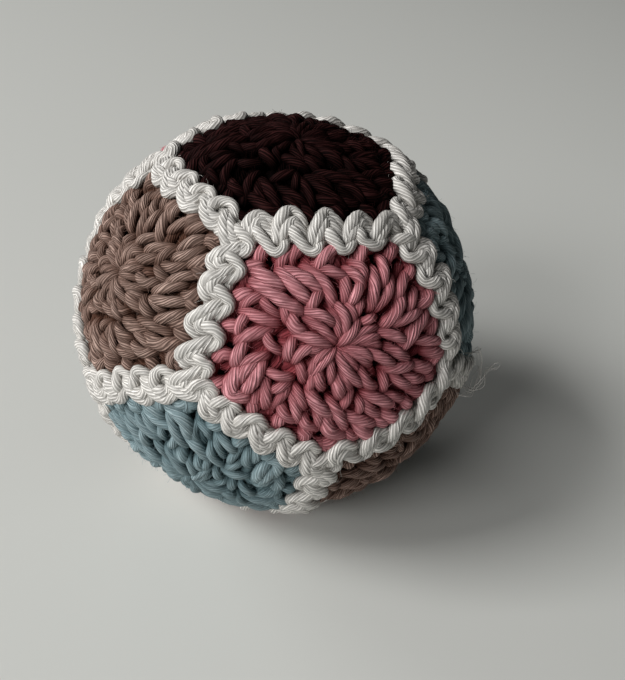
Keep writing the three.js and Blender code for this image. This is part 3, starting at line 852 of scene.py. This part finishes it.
# The backing carries painted shade: its material shows it dark through the gaps between the strands.
def backing(strands, panel):
    """Closes a panel behind its strands, with its middle drawn in."""
    grid = [(0.0, 0.0, BACKING_LIFT - DRAWN_IN)]
    for ring in range(1, BACKING_RINGS + 1):
        for k in range(BACKING_AROUND):
            bearing = 2 * math.pi * k / BACKING_AROUND
            reach = edge_reach(bearing, BACKING_INSET) * ring / BACKING_RINGS
            drawn = DRAWN_IN if reach < DRAWN_REACH else 0
            grid.append((*polar(reach, bearing), BACKING_LIFT - drawn))
    faces = [(0, 1 + k, 1 + (k + 1) % BACKING_AROUND) for k in range(BACKING_AROUND)]
    for ring in range(BACKING_RINGS - 1):
        for k in range(BACKING_AROUND):
            a = 1 + ring * BACKING_AROUND + k
            b = 1 + ring * BACKING_AROUND + (k + 1) % BACKING_AROUND
            faces.append((a, a + BACKING_AROUND, b + BACKING_AROUND, b))
    strands.backing(on_panel(panel, np.array(grid)), faces)


FRONT_WOBBLE = 0.06      # scatter of the shown strands, mm
OTHER_WOBBLE = 0.22
PANEL_SEED = 100
PANEL_FIBRES = (205000.0, 0.0014)     # stray fibres a square metre, and their length in m

for index, panel in enumerate(PANELS):
    strands = Strands(PANEL_SEED + index)
    fifths = 0 if panel == "front" else strands.rng.integers(SIDES)
    wobble = FRONT_WOBBLE if panel == "front" else OTHER_WOBBLE
    for row in SHOWN_STRANDS:
        shown_strand(strands, panel, row, FIFTH * fifths, wobble)
    for work in (round_one, round_two, rim_knobs, rim, backing):
        work(strands, panel)
    colour = PANELS[panel][0]
    finish_yarn(strands, f"panel_{panel}", colour, f"{colour}_cotton", *PANEL_FIBRES)

# Crocheted seams
# A row of tightly drawn white cotton, crocheted over each of the thirty joins. Each stitch bulges
# onto one panel as a round loop, and sends its next arm slanting across the join to a loop on
# the other panel.
SEAM_YARN = 1.03         # the white yarn is drawn tighter: its radius, mm
# The strands of one seam stitch: along in stitches, across in mm, lift in mm, thickness share.
SEAM_U = (
    (-0.42, 1.3, -1.2, 0.85), (-0.34, 0.6, 0.15, 1.0), (-0.24, -0.4, 0.6, 1.08),
    (-0.1, -1.7, 0.5, 1.0), (0.12, -2.9, 0.15, 0.9), (0.34, -2.65, 0.05, 0.88),
    (0.5, -1.5, -0.3, 0.88), (0.58, -0.5, -1.2, 0.85),
)
SEAM_ARCH = (
    (0.14, -1.7, -1.2, 0.85), (0.22, -1.0, 0.0, 0.95), (0.36, 0.2, 0.6, 1.03),
    (0.54, 1.65, 0.8, 1.1), (0.77, 2.85, 0.45, 1.05), (0.98, 2.5, 0.25, 0.98),
    (1.12, 1.5, 0.0, 0.95), (1.2, 0.5, -1.0, 0.85),
)
SEAM_BAR = (
    (0.16, -2.0, -1.3, 0.85), (0.31, -1.35, -0.1, 0.95), (0.47, -0.3, 0.4, 1.05),
    (0.63, 0.75, 0.55, 1.1), (0.8, 1.35, 0.5, 1.08), (0.93, 1.0, 0.25, 1.0),
    (1.02, 0.2, -0.1, 1.0), (1.1, -0.6, -0.5, 0.95), (1.16, -1.2, -1.3, 0.85),
)
STRAND_SCATTER = (0.025, 0.15, 0.08, 0.03)
PLACE_SCATTER = 0.09     # in stitches
LOOP_SCATTER = 0.09      # of how far the loops reach, as a share
# Under the stitches two strands run along the join and past its ends.
CORE_ASIDE = 0.9         # mm
CORE_WAVE = 0.3          # mm
CORE_LIFT = -0.8         # mm
CORE_PAST_END = 1.2      # mm
CORE_POINTS = 24
# Where the last end of white yarn was cut, its fibres fray out in loops: along, across and lift
# in mm.
FRAYED_TAIL = (
    (
        (-4, 3.5, 0.6), (-1, 5.4, 1.9), (1, 3.6, 2.8), (2, 1.5, 3.3),
        (1, -0.8, 3.5), (0, -3.1, 3.0), (-3, -4.2, 0.6),
    ),
    ((1, -3.0, 1.0), (1, -2.0, 3.4), (1, -0.8, 4.6), (2, 1.4, 4.5), (3, 2.4, 5.4), (2, 3.0, 6.6)),
)
FRAYED_SEAM = ("right", "low_front_right")
FRAYED_REPEATS = 4
FRAYED_SCATTER = 0.5     # mm
FRAYED_RADII = (0.035, 0.075)         # thinnest and thickest, mm
SEAM_SEED = 500
SEAM_FIBRES = (110000.0, 0.0013)      # stray fibres a square metre, and their length in m

for index, (a, b) in enumerate(JOINS):
    strands = Strands(SEAM_SEED + index)
    rng = strands.rng
    spread, slant, moved = SEAM_WORK.get((a, b), PLAIN_WORK)
    length = SEAM_PITCH * SEAM_STITCHES
    for i in range(SEAM_STITCHES):
        start = -length / 2 + (i + moved + rng.normal(0, PLACE_SCATTER)) * SEAM_PITCH
        lobe = spread * (1 + rng.normal(0, LOOP_SCATTER))
        for rows in (SEAM_U, SEAM_ARCH, SEAM_BAR):
            rows = np.array(rows) + rng.normal(0, 1, (len(rows), 4)) * np.array(STRAND_SCATTER)
            across = rows[:, 1] * lobe
            along = start + rows[:, 0] * SEAM_PITCH - slant * across
            path = smooth_path(np.column_stack([along, across, rows[:, 2:]]))
            strands.chain(on_seam(a, b, path), path[:, 3] * SEAM_YARN * MM)
    for side in (-1, 1):
        core = []
        for x in np.linspace(-length / 2 - CORE_PAST_END, length / 2 + CORE_PAST_END, CORE_POINTS):
            core.append((x, side * CORE_ASIDE + CORE_WAVE * math.sin(x), CORE_LIFT))
        strands.chain(on_seam(a, b, np.array(core)), np.full(CORE_POINTS, SEAM_YARN * MM))
    if (a, b) == FRAYED_SEAM:
        for tail in FRAYED_TAIL * FRAYED_REPEATS:
            path = smooth_path(np.array(tail) + rng.normal(0, FRAYED_SCATTER, (len(tail), 3)))
            strands.chain(on_seam(a, b, path), np.full(len(path), rng.uniform(*FRAYED_RADII) * MM))
    finish_yarn(strands, f"seam_{a}_to_{b}", "white", "white_cotton", *SEAM_FIBRES)

# Stuffing
# Loose polyester fibre that fills the ball tight. It is pushed in through the last seam, which
# then closes it in on every side.
STUFFING_RADIUS = 0.0345              # m
STUFFING_SPLITS = 5
LUMP_WAVES = (420, 260, 380, 190)     # how close its lumps lie, radians a metre
LUMP_DEPTH = 0.012                    # as a share of its radius
STUFFING_DARK = (0.7, 0.69, 0.66, 1)
STUFFING_PALE = (0.9, 0.89, 0.86, 1)
STUFFING_GRAIN = 300
STUFFING_DETAIL = 6
STUFFING_RELIEF = 0.0008
bpy.ops.mesh.primitive_ico_sphere_add(
    subdivisions=STUFFING_SPLITS, radius=STUFFING_RADIUS, location=(0, 0, 0)
)
stuffing = bpy.context.object
co = np.array([v.co for v in stuffing.data.vertices])
x, y, z = co[:, :1], co[:, 1:2], co[:, 2:]
lump = np.sin(x * LUMP_WAVES[0] + y * LUMP_WAVES[1]) * np.sin(z * LUMP_WAVES[2] - x * LUMP_WAVES[3])
co = co * (1 - LUMP_DEPTH * (1 + lump)) + np.array(BALL_CENTRE)
stuffing.data.vertices.foreach_set("co", co.ravel())
stuffing.data.shade_smooth()
stuffing.name = "stuffing_look"
wadding = bpy.data.materials.new("stuffing_fibre")
wadding.use_nodes = True
tree = wadding.node_tree
spot = add(tree, "ShaderNodeTexCoord", {})["Object"]
noise = add(tree, "ShaderNodeTexNoise", {
    "Scale": STUFFING_GRAIN, "Detail": STUFFING_DETAIL, "Vector": spot,
})["Fac"]
blend = {"Factor": noise, 6: STUFFING_DARK, 7: STUFFING_PALE}
fill(tree, tree.nodes["Principled BSDF"], {
    "Roughness": 0.9,
    "Sheen Weight": 0.4,
    "Base Color": add(tree, "ShaderNodeMix", blend, data_type="RGBA")[2],
    "Normal": add(tree, "ShaderNodeBump", {"Distance": STUFFING_RELIEF, "Height": noise})["Normal"],
})
stuffing.data.materials.append(wadding)
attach(stuffing, "root")
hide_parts("stuffing_core")

# Floor and light
# A pale satin table top, lit from the left by two broad windows and by the pale wall behind
# them. Hardly any light comes from the rest of the room.
TABLE_SIZE = 6           # m
TABLE_COLOUR = (0.68, 0.685, 0.655, 1)
bpy.ops.mesh.primitive_plane_add(size=TABLE_SIZE, location=(0, 0, 0))
floor = bpy.context.object
floor.name = "floor"
table_top = bpy.data.materials.new("table_top")
table_top.use_nodes = True
fill(table_top.node_tree, table_top.node_tree.nodes["Principled BSDF"], {
    "Base Color": TABLE_COLOUR, "Roughness": 0.4, "Specular IOR Level": 0.3,
})
floor.data.materials.append(table_top)

# The windows and the wall, facing the ball: turn and rise in degrees, distance, width and height
# in metres, watts.
WINDOWS = (
    (197.5, 41, 2.2, 0.9, 0.73, 33.5),
    (228, 29, 2.2, 0.96, 0.55, 22.5),
    (149, 20, 2.2, 0.9, 0.62, 11.2),
)
WINDOW_COLOUR = (1.0, 1.0, 0.99)
ROOM_COLOUR = (0.97, 1.0, 0.99, 1)
ROOM_LIGHT = 0.03
for number, (turn, rise, distance, width, height, watts) in enumerate(WINDOWS, 1):
    turn, rise = math.radians(turn), math.radians(rise)
    level = math.cos(rise)
    towards_window = Vector((math.cos(turn) * level, math.sin(turn) * level, math.sin(rise)))
    window = bpy.data.lights.new(f"window_{number}", "AREA")
    window.shape = "RECTANGLE"
    window.size, window.size_y = width, height
    window.energy = watts
    window.color = WINDOW_COLOUR
    lamp = bpy.data.objects.new(f"window_{number}", window)
    scene.collection.objects.link(lamp)
    lamp.location = BALL_CENTRE + distance * towards_window
    lamp.rotation_euler = towards_window.to_track_quat("Z", "Y").to_euler()
room = bpy.data.worlds.new("room")
scene.world = room
room.use_nodes = True
fill(room.node_tree, room.node_tree.nodes["Background"], {
    "Color": ROOM_COLOUR, "Strength": ROOM_LIGHT,
})
